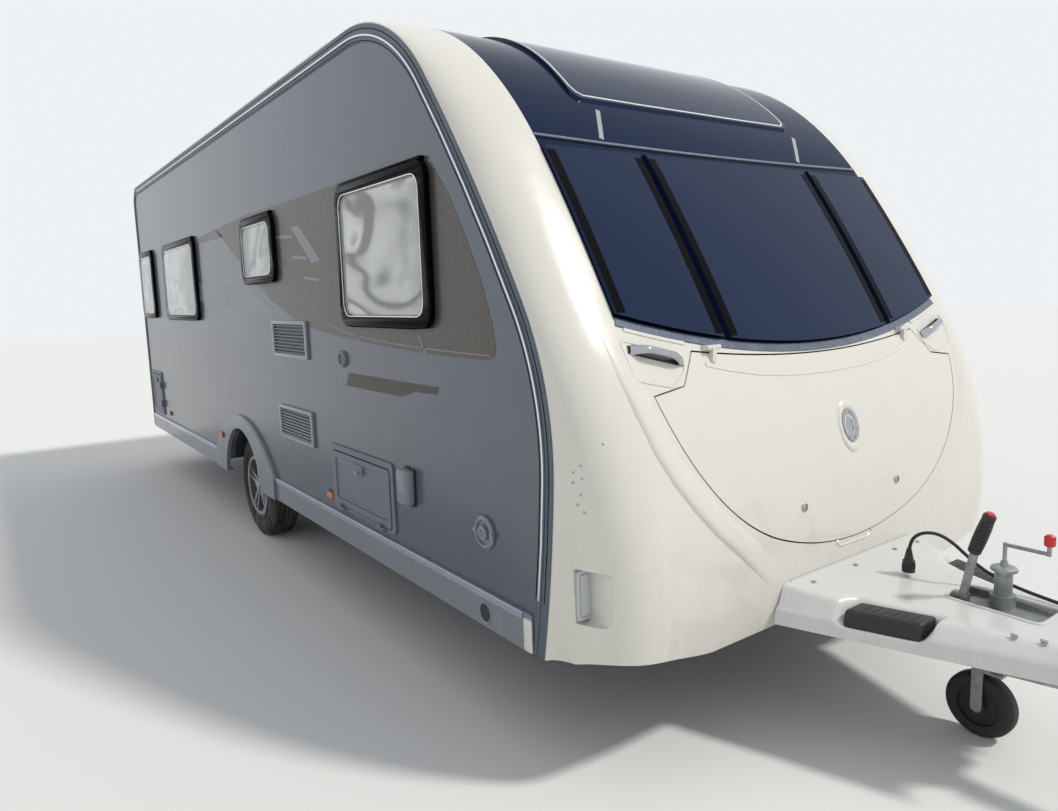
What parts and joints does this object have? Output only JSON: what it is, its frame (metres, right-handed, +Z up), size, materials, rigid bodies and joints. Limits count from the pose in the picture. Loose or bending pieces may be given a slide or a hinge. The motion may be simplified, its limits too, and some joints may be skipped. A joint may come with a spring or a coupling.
{
  "type": "single-axle touring caravan",
  "caption": "Towed touring caravan with a curved white front, dark front windows, silver side walls, A-frame drawbar with jockey wheel, opening door and lockers.",
  "frame": {"origin": "on the ground under the middle of the overall length and width, without the lead", "axes": "+X forward towards the coupling, +Y to the nearside (entrance door), +Z up"},
  "size_m": [7.395, 2.346, 2.607],
  "materials": {
    "white_shell": "gloss moulded shell",
    "silver_skin": "gloss silver-grey skin",
    "floor_board": "black-sealed plywood sandwich",
    "black_plastic": "moulded",
    "dark_gloss": "gloss navy-black",
    "front_acrylic": "tinted acrylic",
    "side_acrylic": "mirrored smoke acrylic",
    "anodised_rail": "anodised",
    "silver_plastic": "satin silver",
    "grey_plastic": "satin moulded",
    "rooflight_acrylic": "frosted acrylic",
    "amber_lens": "lens",
    "red_lens": "lens",
    "clear_lens": "lens",
    "blank_plate": "blank plate",
    "bright_chrome": "polished",
    "galvanised_steel": "galvanised",
    "cast_steel": "painted black",
    "black_rubber": "matt",
    "white_cover": "satin moulded cover",
    "red_plastic": "knob",
    "tyre_rubber": "tyre",
    "alloy_rim": "painted alloy"
  },
  "bodies": {
    "caravan": {"roof_panel": "white_shell", "rear_panel": "white_shell", "front_panel": "white_shell", "offside_wall": "silver_skin", "nearside_wall": "silver_skin", "floor_panel": "floor_board", "wheel_boxes": "black_plastic", "locker_tubs": "black_plastic", "gas_locker_box": "black_plastic", "front_mask": "dark_gloss", "front_windows": "front_acrylic", "sunroof_glass": "front_acrylic", "side_windows": "side_acrylic", "awning_rails": "anodised_rail", "skirts": "silver_plastic", "fridge_vents": "grey_plastic", "hatch_frames": "grey_plastic", "wall_fittings": "grey_plastic", "door_hinge_plates": "black_plastic", "rooflights": "rooflight_acrylic", "side_marker_lamps": "amber_lens", "front_marker_lamps": "clear_lens", "rear_lamps": "red_lens", "number_plate": "blank_plate", "grab_handles": "bright_chrome", "chassis_members": "galvanised_steel", "cross_members": "galvanised_steel", "axle_tube": "galvanised_steel", "swing_arms": "cast_steel", "overrun_housing": "galvanised_steel", "coupling_head": "galvanised_steel", "coupling_gaiter": "black_rubber", "handbrake_lever": "galvanised_steel", "handbrake_grip": "black_plastic", "drawbar_cover": "white_cover", "jockey_clamp_tube": "galvanised_steel", "jockey_crank": "galvanised_steel", "jockey_knob": "red_plastic", "steady_brackets": "galvanised_steel", "lead_plug": "black_plastic", "lead": "black_rubber", "lead_gland": "black_rubber"},
    "wheel_offside": {"tyre_offside": "tyre_rubber", "rim_offside": "alloy_rim"},
    "wheel_nearside": {"tyre_nearside": "tyre_rubber", "rim_nearside": "alloy_rim"},
    "jockey_tube": {"jockey_tube": "galvanised_steel"},
    "jockey_fork": {"jockey_fork": "galvanised_steel"},
    "jockey_wheel": {"jockey_wheel": "black_rubber"},
    "steady_front_offside": {"steady_front_offside": "galvanised_steel"},
    "steady_front_nearside": {"steady_front_nearside": "galvanised_steel"},
    "steady_rear_offside": {"steady_rear_offside": "galvanised_steel"},
    "steady_rear_nearside": {"steady_rear_nearside": "galvanised_steel"},
    "entrance_door": {"entrance_door": "silver_skin", "door_window": "side_acrylic", "door_handle": "black_plastic"},
    "locker_lid": {"locker_lid": "white_shell"},
    "service_hatch_lid": {"service_hatch_lid": "grey_plastic"},
    "cassette_door": {"cassette_door": "grey_plastic"}
  },
  "joints": [
    {"name": "wheel_offside_spin", "type": "hinge", "parent": "caravan", "child": "wheel_offside", "pos_m": [-0.743, -0.985, 0.316], "axis": [0, 1, 0], "continuous": true},
    {"name": "wheel_nearside_spin", "type": "hinge", "parent": "caravan", "child": "wheel_nearside", "pos_m": [-0.743, 0.985, 0.316], "axis": [0, 1, 0], "continuous": true},
    {"name": "jockey_slide", "type": "slide", "parent": "caravan", "child": "jockey_tube", "axis": [0, 0, 1], "range_m": [0, 0.08]},
    {"name": "jockey_swivel", "type": "hinge", "parent": "jockey_tube", "child": "jockey_fork", "pos_m": [3.097, 0.08, 0.23], "axis": [0, 0, 1], "continuous": true},
    {"name": "jockey_wheel_spin", "type": "hinge", "parent": "jockey_fork", "child": "jockey_wheel", "pos_m": [3.049, 0.08, 0.105], "axis": [0, 1, 0], "continuous": true},
    {"name": "steady_front_offside_swing", "type": "hinge", "parent": "caravan", "child": "steady_front_offside", "pos_m": [1.5, -0.8, 0.392], "axis": [0, 1, 0], "range_deg": [0, 52]},
    {"name": "steady_front_nearside_swing", "type": "hinge", "parent": "caravan", "child": "steady_front_nearside", "pos_m": [1.5, 0.8, 0.392], "axis": [0, 1, 0], "range_deg": [0, 52]},
    {"name": "steady_rear_offside_swing", "type": "hinge", "parent": "caravan", "child": "steady_rear_offside", "pos_m": [-2.7, -0.8, 0.392], "axis": [0, -1, 0], "range_deg": [0, 52]},
    {"name": "steady_rear_nearside_swing", "type": "hinge", "parent": "caravan", "child": "steady_rear_nearside", "pos_m": [-2.7, 0.8, 0.392], "axis": [0, -1, 0], "range_deg": [0, 52]},
    {"name": "entrance_door_hinge", "type": "hinge", "parent": "caravan", "child": "entrance_door", "pos_m": [0.563, 1.152, 1.38], "axis": [0, 0, -1], "range_deg": [0, 165]},
    {"name": "locker_lid_hinge", "type": "hinge", "parent": "caravan", "child": "locker_lid", "pos_m": [2.4995, 0, 1.272], "axis": [0, -1, 0], "range_deg": [0, 80]},
    {"name": "service_hatch_hinge", "type": "hinge", "parent": "caravan", "child": "service_hatch_lid", "pos_m": [1.0485, -1.148, 0.519], "axis": [1, 0, 0], "range_deg": [0, 100]},
    {"name": "cassette_door_hinge", "type": "hinge", "parent": "caravan", "child": "cassette_door", "pos_m": [-3.144, -1.148, 0.69], "axis": [0, 0, 1], "range_deg": [0, 150]}
  ]
}
